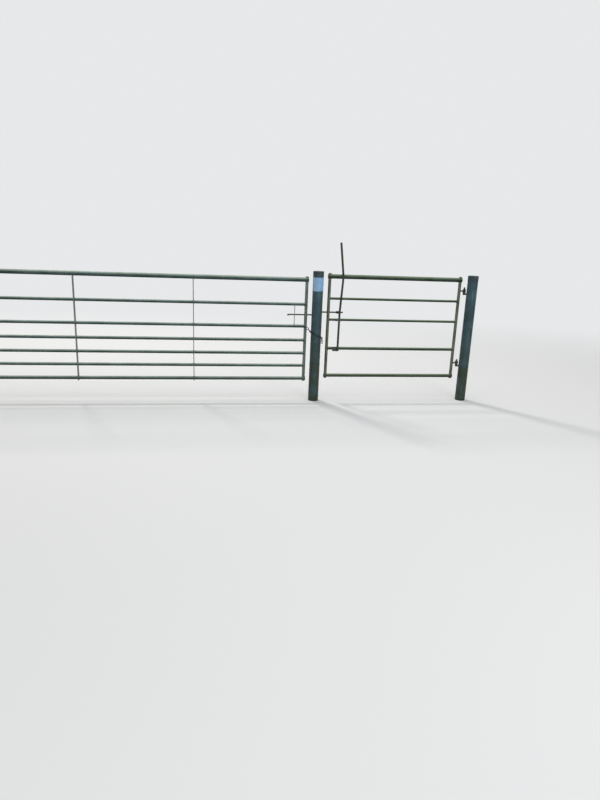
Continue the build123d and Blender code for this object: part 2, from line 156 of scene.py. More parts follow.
def makeWorld(look):
    # camera, glossy and see-through rays meet the far colour, all others the plain light level
    world = bpy.data.worlds.new("studioWorld")
    bpy.context.scene.world = world
    world.use_nodes = True
    tree = world.node_tree
    path = addNode(tree, "ShaderNodeLightPath")
    seen = addNode(tree, "ShaderNodeMath", {"operation": "MAXIMUM"})
    also = addNode(tree, "ShaderNodeMath", {"operation": "MAXIMUM"})
    tree.links.new(path.outputs["Is Camera Ray"], seen.inputs[0])
    tree.links.new(path.outputs["Is Glossy Ray"], seen.inputs[1])
    tree.links.new(seen.outputs[0], also.inputs[0])
    tree.links.new(path.outputs["Is Transmission Ray"], also.inputs[1])
    light = tree.nodes["Background"]
    light.inputs["Color"].default_value = look["skyColour"]
    light.inputs["Strength"].default_value = look["worldLight"]
    far = addNode(tree, "ShaderNodeBackground", None, {"Color": look["farColour"], "Strength": 1.0})
    mix = addNode(tree, "ShaderNodeMixShader")
    tree.links.new(also.outputs[0], mix.inputs[0])
    tree.links.new(light.outputs[0], mix.inputs[1])
    tree.links.new(far.outputs[0], mix.inputs[2])
    tree.links.new(mix.outputs[0], tree.nodes["World Output"].inputs["Surface"])


def hangLamp(name, lamp):
    # a square soft box whose -Z looks from its place to its aim
    data = bpy.data.lights.new(name, "AREA")
    data.energy = lamp["power"]
    data.size = lamp["size"]
    data.color = lamp["colour"]
    back = np.array(lamp["place"]) - np.array(lamp["aim"])
    back = back / np.linalg.norm(back)
    side = np.cross([0.0, 0.0, 1.0], back + np.array(lampNudge))
    side = side / np.linalg.norm(side)
    turned = Matrix(np.column_stack([side, np.cross(back, side), back]).tolist()).to_4x4()
    light = bpy.data.objects.new(name, data)
    light.matrix_world = Matrix.Translation(lamp["place"]) @ turned
    bpy.context.scene.collection.objects.link(light)


makeFloor(stageLook)
makeWorld(stageLook)
hangLamp("keyLamp", keyLamp)
hangLamp("topLamp", topLamp)
hangLamp("frontLamp", frontLamp)
bpy.context.scene.view_settings.view_transform = "Standard"
print("stage ready")


# Finishes: colours are linear, lengths are metres
# most zinc colours are darker than galvanised steel's own grey, at the tones of back-lit steel in shade:
# painted shade
railZinc = {
    "fresh": (0.064, 0.110, 0.110, 1.0),
    "weathered": (0.036, 0.066, 0.062, 1.0),
    "bloom": (0.150, 0.185, 0.178, 1.0),
    "bloomShare": 0.55,
    "runs": (0.028, 0.042, 0.036, 1.0),
    # pale tops: a painted highlight of the light from above, with some dust
    "topDustAndHighlight": (0.430, 0.510, 0.430, 1.0),
    # under: undersides darkened as painted shade
    "under": (0.013, 0.030, 0.022, 1.0),
    # shade: painted shade and painted reflection of the ground on the side that faces +X, with some algae
    "shade": (0.050, 0.052, 0.030, 1.0),
    "shadeShare": 0.45,
    "soilAndShade": (0.060, 0.052, 0.030, 1.0),
    "soilAndShadeTop": 0.36,
    "soilAndShadeFull": 0.0,
    "rust": (0.130, 0.055, 0.022, 1.0),
    "rustShare": 0.30,
    "spangleScale": 95.0,
    "spangleSpread": 0.20,
    "metal": 0.35,
    "specular": 0.28,
    "roughLow": 0.38,
    "roughHigh": 0.64,
    "rubbed": (0.200, 0.235, 0.225, 1.0),
    "rubbedShare": 0.6,
}
# the same steel as the rails, darker and greener: painted shade and painted green reflection of the grass
shadedBridleZinc = dict(
    railZinc, fresh=(0.034, 0.058, 0.038, 1.0), weathered=(0.017, 0.034, 0.019, 1.0),
    bloom=(0.070, 0.098, 0.068, 1.0), bloomShare=0.40, runs=(0.013, 0.023, 0.012, 1.0),
    topDustAndHighlight=(0.250, 0.310, 0.205, 1.0), under=(0.012, 0.020, 0.010, 1.0), rustShare=0.45,
    rubbed=(0.130, 0.155, 0.130, 1.0), metal=0.25, specular=0.20)
stileZinc = dict(
    railZinc, fresh=(0.150, 0.192, 0.178, 1.0), weathered=(0.098, 0.122, 0.106, 1.0),
    bloom=(0.215, 0.250, 0.235, 1.0), runs=(0.062, 0.072, 0.054, 1.0), topDustAndHighlight=(0.420, 0.470, 0.400, 1.0),
    under=(0.040, 0.048, 0.034, 1.0), shade=(0.082, 0.084, 0.056, 1.0), shadeShare=0.35, specular=0.5)
strapZinc = dict(
    stileZinc, fresh=(0.300, 0.325, 0.290, 1.0), weathered=(0.215, 0.235, 0.205, 1.0),
    bloom=(0.370, 0.390, 0.360, 1.0), runs=(0.140, 0.150, 0.120, 1.0), shadeShare=0.20)
bridleStileZinc = dict(
    stileZinc, fresh=(0.124, 0.138, 0.104, 1.0), weathered=(0.078, 0.088, 0.062, 1.0),
    bloom=(0.165, 0.178, 0.145, 1.0), runs=(0.050, 0.055, 0.036, 1.0), rustShare=0.45,
    topDustAndHighlight=(0.330, 0.360, 0.260, 1.0), shade=(0.064, 0.068, 0.044, 1.0))
# on the post the soil colour reaches almost to its top, and with the green shade it is painted shade and
# painted grass reflection over some real soil and algae
postZinc = dict(
    railZinc, fresh=(0.038, 0.084, 0.106, 1.0), weathered=(0.022, 0.052, 0.064, 1.0),
    bloom=(0.064, 0.120, 0.138, 1.0), bloomShare=0.40, runs=(0.016, 0.030, 0.028, 1.0),
    topDustAndHighlight=(0.090, 0.120, 0.115, 1.0), soilAndShade=(0.029, 0.037, 0.014, 1.0), soilAndShadeTop=0.96, soilAndShadeFull=0.10,
    shade=(0.038, 0.050, 0.022, 1.0), shadeShare=0.95,
    spangleScale=70.0, spangleSpread=0.15, metal=0.40, specular=0.5, roughLow=0.34, roughHigh=0.56)
ironZinc = dict(
    railZinc, fresh=(0.058, 0.074, 0.070, 1.0), weathered=(0.032, 0.042, 0.038, 1.0), rustShare=0.55,
    bloom=(0.120, 0.136, 0.128, 1.0), spangleScale=160.0, spangleSpread=0.12, metal=0.5,
    specular=0.5, topDustAndHighlight=(0.220, 0.250, 0.225, 1.0))
leverIron = dict(
    ironZinc, fresh=(0.038, 0.044, 0.028, 1.0), weathered=(0.022, 0.025, 0.014, 1.0),
    bloom=(0.070, 0.075, 0.055, 1.0), topDustAndHighlight=(0.130, 0.135, 0.100, 1.0), rustShare=0.7,
    rubbed=(0.110, 0.112, 0.090, 1.0), metal=0.30, specular=0.25)
chainIron = dict(
    ironZinc, fresh=(0.024, 0.030, 0.029, 1.0), weathered=(0.012, 0.016, 0.014, 1.0),
    bloom=(0.050, 0.056, 0.050, 1.0), topDustAndHighlight=(0.060, 0.064, 0.056, 1.0), rustShare=0.50,
    spangleScale=320.0, metal=0.25, specular=0.20, rubbed=(0.120, 0.130, 0.125, 1.0))
capSteel = dict(
    ironZinc, fresh=(0.028, 0.050, 0.060, 1.0), weathered=(0.018, 0.034, 0.042, 1.0),
    bloom=(0.050, 0.075, 0.085, 1.0), topDustAndHighlight=(0.080, 0.100, 0.100, 1.0), rustShare=0.35, metal=0.25,
    rubbed=(0.090, 0.120, 0.125, 1.0))

# How the layers lie: a noise is its scale in waves a metre, its detail and its roughness, and a pair
# is where a layer starts and where it is full
zincLayers = {
    "patchNoise": (5.5, 7.0, 0.62),
    "patchFrom": (0.36, 0.66),
    "fineNoise": (120.0, 5.0, 0.6),
    "wanderScale": 45.0,
    "wanderDetail": 3.0,
    "wander": 0.016,
    "fineCells": 3.1,
    "fineShare": 0.45,
    "cloudNoise": (17.0, 8.0, 0.68),
    "cloudFrom": (0.54, 0.74),
    "runNoise": (1.0, 5.0, 0.6),
    "runStretch": (42.0, 42.0, 3.2),
    "runFrom": (0.52, 0.72),
    "runShare": 0.7,
    "dustAndHighlightSlope": (0.10, 0.74),
    "dustAndHighlightGrain": (0.2, 0.6),
    "dustAndHighlightShare": (0.54, 0.90),
    "underSlope": (0.0, -0.7),
    "underShare": 0.85,
    "shadeLean": 0.34,
    "shadeBreak": 0.95,
    "shadeFrom": (0.50, 0.90),
    "splashNoise": (9.0, 6.0, 0.65),
    "splashFrom": (0.3, 0.6),
    "speckNoise": (34.0, 8.0, 0.7),
    "speckFrom": (0.60, 0.70),
    "rubRadius": 0.0022,
    "rubSamples": 6,
    "rubFrom": (0.990, 0.880),
    "rubBreak": (0.42, 0.60),
    "roughFrom": (0.3, 0.7),
    "glint": 0.10,
    "rustRough": 0.35,
    "bloomRough": 0.20,
    "dustRough": 0.30,
    "waveNoise": (26.0, 3.0, 0.5),
    "waveStrength": 0.35,
    "waveDepth": 0.0016,
    "pitStrength": 0.30,
    "pitDepth": 0.0005,
}


weldTone = {"spangleScale": 260.0, "spangleSpread": 0.10, "rustShare": 0.6}


def weldOf(look):
    # a bead has the colours of the steel beside it, with fine crystals and more rust
    return dict(look, **weldTone)


def rangeOf(tree, source, ends, out=(0.0, 1.0)):
    # source carried smoothly from the pair of ends to the pair out, clamped
    node = addNode(tree, "ShaderNodeMapRange", {"interpolation_type": "SMOOTHSTEP"},
                   {"From Min": ends[0], "From Max": ends[1], "To Min": out[0], "To Max": out[1]})
    tree.links.new(source, node.inputs["Value"])
    return node.outputs["Result"]


def mathOf(tree, operation, first, second):
    # one step of arithmetic on two sockets or numbers, clamped to 0..1
    node = addNode(tree, "ShaderNodeMath", {"operation": operation, "use_clamp": True})
    for socket, value in zip(node.inputs, (first, second)):
        if isinstance(value, (int, float)):
            socket.default_value = value
        else:
            tree.links.new(value, socket)
    return node.outputs[0]


def product(tree, first, second):
    # first x second
    return mathOf(tree, "MULTIPLY", first, second)


def blendColour(tree, share, under, over, mode="MIX"):
    # under turned into over by share
    node = addNode(tree, "ShaderNodeMix", {"data_type": "RGBA", "blend_type": mode})
    for socket, value in ((node.inputs[0], share), (node.inputs[6], under), (node.inputs[7], over)):
        if isinstance(value, (int, float, tuple)):
            socket.default_value = value
        else:
            tree.links.new(value, socket)
    return node.outputs[2]


def noiseOf(tree, coordinates, noise, stretch=None):
    # fractal noise on the object's own coordinates, stretched by a Mapping node
    scale, detail, rough = noise
    if stretch is not None:
        mapping = addNode(tree, "ShaderNodeMapping", None, {"Scale": stretch})
        tree.links.new(coordinates, mapping.inputs["Vector"])
        coordinates = mapping.outputs["Vector"]
    node = addNode(tree, "ShaderNodeTexNoise", None,
                   {"Scale": scale, "Detail": detail, "Roughness": rough})
    tree.links.new(coordinates, node.inputs["Vector"])
    return node.outputs["Fac"]


def cellsOf(tree, coordinates, scale):
    # random numbers of the crystal cell that a point lies in, as red, green and blue
    cells = addNode(tree, "ShaderNodeTexVoronoi", None, {"Scale": scale})
    parts = addNode(tree, "ShaderNodeSeparateColor")
    tree.links.new(coordinates, cells.inputs["Vector"])
    tree.links.new(cells.outputs["Color"], parts.inputs[0])
    return parts


def bumpOf(tree, height, strength, depth, under=None):
    # a bump of a height, laid over another normal if there is one
    node = addNode(tree, "ShaderNodeBump", None, {"Strength": strength, "Distance": depth})
    tree.links.new(height, node.inputs["Height"])
    if under is not None:
        tree.links.new(under, node.inputs["Normal"])
    return node.outputs["Normal"]


def rubbedEdges(tree):
    # 1 where the surface turns within a small radius, from the normal averaged over that radius:
    # averaged normal . normal falls from 1 to the cosine of half the edge's turn
    averaged = addNode(tree, "ShaderNodeBevel", {"samples": zincLayers["rubSamples"]},
                       {"Radius": zincLayers["rubRadius"]})
    surface = addNode(tree, "ShaderNodeNewGeometry")
    match = addNode(tree, "ShaderNodeVectorMath", {"operation": "DOT_PRODUCT"})
    tree.links.new(averaged.outputs["Normal"], match.inputs[0])
    tree.links.new(surface.outputs["Normal"], match.inputs[1])
    return rangeOf(tree, match.outputs["Value"], zincLayers["rubFrom"])


def zincFinish(name, look):
    # old galvanising: patina x crystal cells, then pale bloom, dark runs, painted shade and painted ground
    # reflection with some algae film on the side that faces +X, a painted highlight with some dust on
    # faces that look up, painted shade on faces that look down, soil near the ground, rubbed edges and
    # rust
    layer = zincLayers
    material = bpy.data.materials.new(name)
    material.use_nodes = True
    tree = material.node_tree
    shader = tree.nodes["Principled BSDF"]
    source = addNode(tree, "ShaderNodeTexCoord")
    at, facing = source.outputs["Object"], source.outputs["Normal"]
    height = addNode(tree, "ShaderNodeSeparateXYZ")
    slope = addNode(tree, "ShaderNodeSeparateXYZ")
    tree.links.new(at, height.inputs[0])
    tree.links.new(facing, slope.inputs[0])

    patches = noiseOf(tree, at, layer["patchNoise"])
    fine = noiseOf(tree, at, layer["fineNoise"])
    aged = rangeOf(tree, patches, layer["patchFrom"])
    colour = blendColour(tree, aged, look["fresh"], look["weathered"])
    wander = addNode(tree, "ShaderNodeTexNoise", None,
                     {"Scale": layer["wanderScale"], "Detail": layer["wanderDetail"]})
    wandered = addNode(tree, "ShaderNodeVectorMath", {"operation": "MULTIPLY_ADD"})
    wandered.inputs[1].default_value = (layer["wander"],) * 3
    tree.links.new(at, wander.inputs["Vector"])
    tree.links.new(wander.outputs["Color"], wandered.inputs[0])
    tree.links.new(at, wandered.inputs[2])
    coarse = cellsOf(tree, wandered.outputs["Vector"], look["spangleScale"])
    small = cellsOf(tree, wandered.outputs["Vector"], look["spangleScale"] * layer["fineCells"])
    mixed = addNode(tree, "ShaderNodeMix", None, {"Factor": layer["fineShare"]})
    tree.links.new(coarse.outputs[0], mixed.inputs[2])
    tree.links.new(small.outputs[0], mixed.inputs[3])
    spread = look["spangleSpread"]
    tone = rangeOf(tree, mixed.outputs[0], (0.0, 1.0), (1.0 - spread, 1.0 + spread))
    toneColour = addNode(tree, "ShaderNodeCombineColor")
    for socket in toneColour.inputs:
        tree.links.new(tone, socket)
    colour = blendColour(tree, 1.0, colour, toneColour.outputs[0], "MULTIPLY")

    clouds = noiseOf(tree, at, layer["cloudNoise"])
    bloom = product(tree, rangeOf(tree, clouds, layer["cloudFrom"]), look["bloomShare"])
    colour = blendColour(tree, bloom, colour, look["bloom"])
    runs = noiseOf(tree, at, layer["runNoise"], layer["runStretch"])
    run = product(tree, rangeOf(tree, runs, layer["runFrom"]), layer["runShare"])
    colour = blendColour(tree, run, colour, look["runs"])
    # painted shade and painted reflection of the ground on the side that faces +X, with some algae film
    turned = product(tree, slope.outputs["X"], layer["shadeLean"])
    ragged = mathOf(tree, "ADD", turned, product(tree, clouds, layer["shadeBreak"]))
    filmAndShade = product(tree, rangeOf(tree, ragged, layer["shadeFrom"]), look["shadeShare"])
    colour = blendColour(tree, filmAndShade, colour, look["shade"])
    # a painted highlight of the light from above on faces that look up, with some dust
    grain = rangeOf(tree, fine, layer["dustAndHighlightGrain"], layer["dustAndHighlightShare"])
    dustAndHighlight = product(tree, rangeOf(tree, slope.outputs["Z"], layer["dustAndHighlightSlope"]), grain)
    colour = blendColour(tree, dustAndHighlight, colour, look["topDustAndHighlight"])
    # painted shade on faces that look down
    undersideShade = product(tree, rangeOf(tree, slope.outputs["Z"], layer["underSlope"]), layer["underShare"])
    colour = blendColour(tree, undersideShade, colour, look["under"])
    # soil near the ground; on the posts it reaches high and green as painted shade and painted grass
    # reflection
    splash = noiseOf(tree, at, layer["splashNoise"])
    low = rangeOf(tree, height.outputs["Z"], (look["soilAndShadeTop"], look["soilAndShadeFull"]))
    splashedAndShaded = product(tree, low, rangeOf(tree, splash, layer["splashFrom"]))
    colour = blendColour(tree, splashedAndShaded, colour, look["soilAndShade"])
    rubbed = product(tree, rubbedEdges(tree), rangeOf(tree, clouds, layer["rubBreak"]))
    colour = blendColour(tree, product(tree, rubbed, look["rubbedShare"]), colour, look["rubbed"])
    specks = noiseOf(tree, at, layer["speckNoise"])
    rust = product(tree, rangeOf(tree, specks, layer["speckFrom"]), look["rustShare"])
    colour = blendColour(tree, rust, colour, look["rust"])
    tree.links.new(colour, shader.inputs["Base Color"])

    rough = rangeOf(tree, patches, layer["roughFrom"], (look["roughLow"], look["roughHigh"]))
    rough = mathOf(tree, "ADD", rough, product(tree, coarse.outputs[1], layer["glint"]))
    rough = mathOf(tree, "ADD", rough, product(tree, rust, layer["rustRough"]))
    rough = mathOf(tree, "ADD", rough, product(tree, bloom, layer["bloomRough"]))
    rough = mathOf(tree, "ADD", rough, product(tree, dustAndHighlight, layer["dustRough"]))
    tree.links.new(rough, shader.inputs["Roughness"])
    shader.inputs["Metallic"].default_value = look["metal"]
    shader.inputs["Specular IOR Level"].default_value = look["specular"]

    waves = noiseOf(tree, at, layer["waveNoise"])
    broad = bumpOf(tree, waves, layer["waveStrength"], layer["waveDepth"])
    pitted = bumpOf(tree, fine, layer["pitStrength"], layer["pitDepth"], broad)
    tree.links.new(pitted, shader.inputs["Normal"])
    return material


tapeLook = {
    # the band's pale blue stands in for the sky-lit shade on a white band: painted shade
    "clean": (0.235, 0.405, 0.610, 1.0),
    "faded": (0.205, 0.350, 0.540, 1.0),
    "grime": (0.110, 0.145, 0.150, 1.0),
    "patchNoise": (14.0, 6.0, 0.6),
    "patchFrom": (0.40, 0.65),
    "scuffNoise": (1.0, 6.0, 0.7),
    "scuffStretch": (18.0, 18.0, 420.0),
    "scuffFrom": (0.58, 0.74),
    "scuffShare": 0.25,
    "edge": 0.008,
    "grimeNoise": (55.0, 7.0, 0.7),
    "grimeFrom": (0.32, 0.62),
    "grimeShare": 0.55,
    "roughFrom": (0.3, 0.7),
    "rough": (0.40, 0.60),
    "bumpStrength": 0.25,
    "bumpDepth": 0.0006,
}


def tapeFinish(name, look, bottom, top):
    # a pale plastic band: faded patches, grime that thickens towards both edges, fine scuffs round it
    material = bpy.data.materials.new(name)
    material.use_nodes = True
    tree = material.node_tree
    shader = tree.nodes["Principled BSDF"]
    at = addNode(tree, "ShaderNodeTexCoord").outputs["Object"]
    height = addNode(tree, "ShaderNodeSeparateXYZ")
    tree.links.new(at, height.inputs[0])
    patches = noiseOf(tree, at, look["patchNoise"])
    colour = blendColour(tree, rangeOf(tree, patches, look["patchFrom"]), look["clean"], look["faded"])
    scuffs = noiseOf(tree, at, look["scuffNoise"], look["scuffStretch"])
    scuffed = product(tree, rangeOf(tree, scuffs, look["scuffFrom"]), look["scuffShare"])
    colour = blendColour(tree, scuffed, colour, look["grime"])
    speckle = rangeOf(tree, noiseOf(tree, at, look["grimeNoise"]), look["grimeFrom"])
    for edge, inside in ((bottom, bottom + look["edge"]), (top, top - look["edge"])):
        near = product(tree, rangeOf(tree, height.outputs["Z"], (inside, edge)), look["grimeShare"])
        colour = blendColour(tree, product(tree, near, speckle), colour, look["grime"])
    tree.links.new(colour, shader.inputs["Base Color"])
    rough = rangeOf(tree, patches, look["roughFrom"], look["rough"])
    tree.links.new(rough, shader.inputs["Roughness"])
    tree.links.new(bumpOf(tree, patches, look["bumpStrength"], look["bumpDepth"]), shader.inputs["Normal"])
    return material


def boxOf(node):
    # lowest corner, highest corner and middle of a node
    low, high = (np.array(corner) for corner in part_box(node))
    return low, high, (low + high) / 2


bandLow, bandHigh, bandMiddle = boxOf("marker_band")
finishes = {
    "rail": zincFinish("railZinc", railZinc),
    "bridle": zincFinish("shadedBridleZinc", shadedBridleZinc),
    "stile": zincFinish("stileZinc", stileZinc),
    "bridleStile": zincFinish("bridleStileZinc", bridleStileZinc),
    "strap": zincFinish("strapZinc", strapZinc),
    "post": zincFinish("postZinc", postZinc),
    "iron": zincFinish("ironZinc", ironZinc),
    "lever": zincFinish("leverIron", leverIron),
    "chain": zincFinish("chainIron", chainIron),
    "railWeld": zincFinish("railWeld", weldOf(railZinc)),
    "bridleWeld": zincFinish("bridleWeld", weldOf(shadedBridleZinc)),
    "postWeld": zincFinish("postWeld", weldOf(postZinc)),
    "cap": zincFinish("capSteel", capSteel),
    "tape": tapeFinish("markerTape", tapeLook, bandLow[2], bandHigh[2]),
}


def finishOf(node):
    # which finish a node takes, by its name
    if node.endswith("_cap"):
        return "cap"
    if node.endswith("_post"):
        return "post"
    if node == "marker_band":
        return "tape"
    if node in ("latch_lever", "latch_bolt"):
        return "lever"
    if node.endswith("_strap"):
        return "strap"
    if node in ("gate_chain", "chain_staple"):
        return "chain"
    if node.endswith(("_hook", "_eye", "_staple", "_bolt", "_stud")) or node.startswith("lever_"):
        return "iron"
    if node.endswith("_stile") or "_stay_" in node:
        return "bridleStile" if node.startswith("bridle_") else "stile"
    return "bridle" if node.startswith("bridle_") else "rail"


for nodeName, part in nodes.items():
    for slot in part.material_slots:
        slot.material = finishes[finishOf(nodeName)]
print("finishes set on", len(nodes), "nodes")


# Surfaces: grids of rings, one ring after another along a path
def unit(vectors):
    # each vector divided by its own length
    return vectors / np.linalg.norm(vectors, axis=-1, keepdims=True)


def ringsAlong(path, across, upward, outline):
    # an outline of (a, b) pairs carried along a path: point + a x across + b x upward
    return path[:, None, :] + outline[..., :1] * across[:, None, :] + outline[..., 1:] * upward[:, None, :]


def surfacePart(name, copies, body, finish, closedPaths):
    # copies is a list of grids (rows, columns, 3): neighbours make the faces, columns always meet,
    # and rows meet too on a closed path, or else end in a pole at the middle of the end ring
    points, faces, start = [], [], 0
    for grid, closedPath in zip(copies, closedPaths):
        rows, columns = grid.shape[:2]
        index = start + np.arange(rows * columns).reshape(rows, columns)
        beside = np.roll(index, -1, axis=1)
        after, besideAfter = np.roll(index, -1, axis=0), np.roll(beside, -1, axis=0)
        quads = np.stack([index, beside, besideAfter, after], axis=-1)
        faces += (quads if closedPath else quads[:-1]).reshape(-1, 4).tolist()
        points.append(grid.reshape(-1, 3))
        start += rows * columns
        if not closedPath:
            points.append(np.stack([grid[0].mean(axis=0), grid[-1].mean(axis=0)]))
            faces += np.stack([beside[0], index[0], np.full(columns, start)], axis=-1).tolist()
            faces += np.stack([index[-1], beside[-1], np.full(columns, start + 1)], axis=-1).tolist()
            start += 2
    mesh = bpy.data.meshes.new(name)
    mesh.from_pydata(np.concatenate(points), [], faces)
    mesh.polygons.foreach_set("use_smooth", np.ones(len(faces), bool))
    mesh.update()
    mesh.materials.append(finishes[finish])
    part = bpy.data.objects.new(name, mesh)
    bpy.context.scene.collection.objects.link(part)
    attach(part, body)
    print(name, "made of", len(copies), "surfaces,", len(faces), "faces")
    return part


# Weld beads: a rippled cord laid along the line where two surfaces meet
beadLook = {
    "rippleLength": 0.0030,
    "rippleDepth": 0.09,
    "crescent": 0.45,
    "flatness": 0.20,
    "wander": 0.05,
    "wanderShares": (1.0, 0.6, 0.4),
    "wanderWaves": (2, 5, 9),
    "stepsPerRipple": 4,
    "columns": 10,
    "ringSteps": 96,
    "straightSteps": 12,
    "softness": 0.003,
    "endPower": 6,
    "endShare": 0.2,
    "seed": 11,
}
beadRandom = np.random.default_rng(beadLook["seed"])
xAxis, yAxis, zAxis = np.eye(3)


def beadAlong(line, normals, size, closedPath):
    # ring radius = size x (1 + ripple + wander - flatness x cos^2 a), set at even steps along the line.
    # The ripples, |sin(pi (s / ripple length - crescent x (1 - cos a)))|, lag behind at the bead's sides,
    # and an open bead narrows to its ends as the square root of 1 - u^6, u from -1 to 1
    ends = np.roll(line, -1, axis=0) if closedPath else line[1:]
    steps = np.linalg.norm(ends - line[:len(ends)], axis=1)
    along = np.concatenate([[0.0], np.cumsum(steps)])
    length = along[-1]
    ripples = max(3, round(length / beadLook["rippleLength"]))
    count = ripples * beadLook["stepsPerRipple"] + (0 if closedPath else 1)
    at = np.linspace(0.0, length, count, endpoint=not closedPath)
    if closedPath:
        line, normals = (np.concatenate([rows, rows[:1]]) for rows in (line, normals))
    path = np.stack([np.interp(at, along, line[:, axis]) for axis in range(3)], axis=1)
    across = np.stack([np.interp(at, along, normals[:, axis]) for axis in range(3)], axis=1)
    if closedPath:
        tangent = unit(np.roll(path, -1, axis=0) - np.roll(path, 1, axis=0))
    else:
        tangent = unit(np.gradient(path, axis=0))
    across = unit(across - np.sum(across * tangent, axis=1, keepdims=True) * tangent)
    phases = beadRandom.uniform(0.0, 2 * math.pi, len(beadLook["wanderWaves"]))
    turn = 2 * math.pi * at / length
    wander = sum(share * np.sin(waves * turn + phase)
                 for share, waves, phase in zip(beadLook["wanderShares"], beadLook["wanderWaves"], phases))
    around = np.linspace(0.0, 2 * math.pi, beadLook["columns"], endpoint=False)
    lag = beadLook["crescent"] * (1.0 - np.cos(around))
    ripple = np.abs(np.sin(math.pi * (ripples * at[:, None] / length - lag)))
    radius = size * (1.0 + beadLook["rippleDepth"] * (ripple - 0.5) + beadLook["wander"] * wander[:, None]
                     - beadLook["flatness"] * np.cos(around) ** 2)
    if not closedPath:
        narrowing = np.maximum(1.0 - np.abs(2 * at / length - 1.0) ** beadLook["endPower"],
                               beadLook["endShare"] ** 2)
        radius = radius * np.sqrt(narrowing)[:, None]
    ring = np.stack([np.cos(around), np.sin(around)], axis=-1)
    return ringsAlong(path, across, np.cross(tangent, across), radius[..., None] * ring)


def barBead(base, axis, tubeRadius, out, barRadius, size, sidestep=0.0):
    # where a round bar leaves a round tube: v = sidestep + r sin t sideways, r cos t along the tube
    # and sqrt(tube radius^2 - v^2 + softness^2) outwards
    t = np.linspace(0.0, 2 * math.pi, beadLook["ringSteps"], endpoint=False)[:, None]
    sideways = np.cross(axis, out)
    v = sidestep + barRadius * np.sin(t)
    reach = np.sqrt(np.maximum(tubeRadius ** 2 - v ** 2, 0.0) + beadLook["softness"] ** 2)
    line = base + reach * out + v * sideways + barRadius * np.cos(t) * axis
    barOut = np.sin(t) * sideways + np.cos(t) * axis
    return beadAlong(line, barOut + unit(reach * out + v * sideways), size, True), True


def ringBead(centre, plateOut, middle, radius, size, halfTurn=math.pi):
    # where a round bar passes a flat face: radius x (cos t x middle + sin t x side), t to each side
    whole = halfTurn >= math.pi
    t = np.linspace(-halfTurn, halfTurn, beadLook["ringSteps"], endpoint=not whole)[:, None]
    radial = np.cos(t) * middle + np.sin(t) * np.cross(plateOut, middle)
    return beadAlong(centre + radius * radial, radial + plateOut, size, whole), whole


def lineBead(start, end, normal, size):
    # a straight bead between two points
    share = np.linspace(0.0, 1.0, beadLook["straightSteps"])[:, None]
    line = start + share * (end - start)
    return beadAlong(line, np.broadcast_to(unit(normal), line.shape), size, False), False


def halfSize(node, axis):
    # half of a node's size along an axis
    low, high = boxOf(node)[:2]
    return (high[axis] - low[axis]) / 2


def beadPart(name, beads, body, finish):
    # one piece of several beads
    grids, closed = zip(*beads)
    return surfacePart(name, list(grids), body, finish, list(closed))


gateWelds = {"railBead": 0.0036, "collarBead": 0.0040, "stayBead": 0.0026, "lugBead": 0.0028,
             "wideOver": 1.05, "widestHold": 0.95}
railCounts = {"field": 7, "bridle": 5}
stileRadius = halfSize("field_closing_stile", 0)
leafY = boxOf("field_closing_stile")[2][1]


def railBeads(leaf):
    # a narrow rail is welded round its notched end, a wide one round the stile above and below it
    beads = []
    for stile in ("_closing_stile", "_hanging_stile"):
        stileX = boxOf(leaf + stile)[2][0]
        for number in range(1, railCounts[leaf] + 1):
            rail = f"{leaf}_rail_{number}"
            middle = boxOf(rail)[2]
            radius = halfSize(rail, 1)
            base = np.array([stileX, leafY, middle[2]])
            if radius > stileRadius * gateWelds["wideOver"]:
                size = gateWelds["collarBead"]
                for upward in (zAxis, -zAxis):
                    beads.append(barBead(base, xAxis, radius, upward, stileRadius, size))
            else:
                towards = xAxis * np.sign(middle[0] - stileX)
                beads.append(barBead(base, zAxis, stileRadius, towards, radius, gateWelds["railBead"]))
    return beads


def stayBeads():
    # each rail is tacked round where it passes the flat stays, the top rail only where the stay reaches up
    beads = []
    for stay in ("field_stay_1", "field_stay_2"):
        low, high = boxOf(stay)[:2]
        for number in range(1, railCounts["field"] + 1):
            rail = f"field_rail_{number}"
            height, radius = boxOf(rail)[2][2], halfSize(rail, 1)
            bare = min(1.0, (height - high[2]) / radius)
            halfTurn = math.pi if high[2] > height + radius else math.acos(bare)
            for out, x in ((-xAxis, low[0]), (xAxis, high[0])):
                centre = np.array([x, leafY, height])
                beads.append(ringBead(centre, out, -zAxis, radius, gateWelds["stayBead"], halfTurn))
    return beads


def strapBeads():
    # the bolt's strap is welded to the rails above and below it, on both faces
    low, high = boxOf("field_bolt_strap")[:2]
    beads = []
    for rail, towards in (("field_rail_5", zAxis), ("field_rail_6", -zAxis)):
        height, radius = boxOf(rail)[2][2], halfSize(rail, 1)
        halfTurn = math.asin(min(gateWelds["widestHold"], halfSize("field_bolt_strap", 1) / radius))
        for out, x in ((-xAxis, low[0]), (xAxis, high[0])):
            centre = np.array([x, leafY, height])
            beads.append(ringBead(centre, out, towards, radius, gateWelds["lugBead"], halfTurn))
    return beads


beadPart("field_rail_welds", railBeads("field"), "field_gate", "railWeld")
beadPart("field_stay_welds", stayBeads() + strapBeads(), "field_gate", "railWeld")
beadPart("bridle_rail_welds", railBeads("bridle"), "bridle_gate", "bridleWeld")


# Welds of the hinges, staples, stud, latch and chain
ironWelds = {"eyeBead": 0.0032, "hookBead": 0.0040, "stapleBead": 0.0026, "studBead": 0.0026,
             "guideBead": 0.0024, "plateBead": 0.0028, "plateInset": 0.009, "plateLift": 0.5,
             "plateLean": 0.4, "shankRadius": 0.008, "armRadius": 0.010, "knuckleHalf": 0.012,
             "chainBar": 0.0035}
postRadius = halfSize("centre_post", 0)


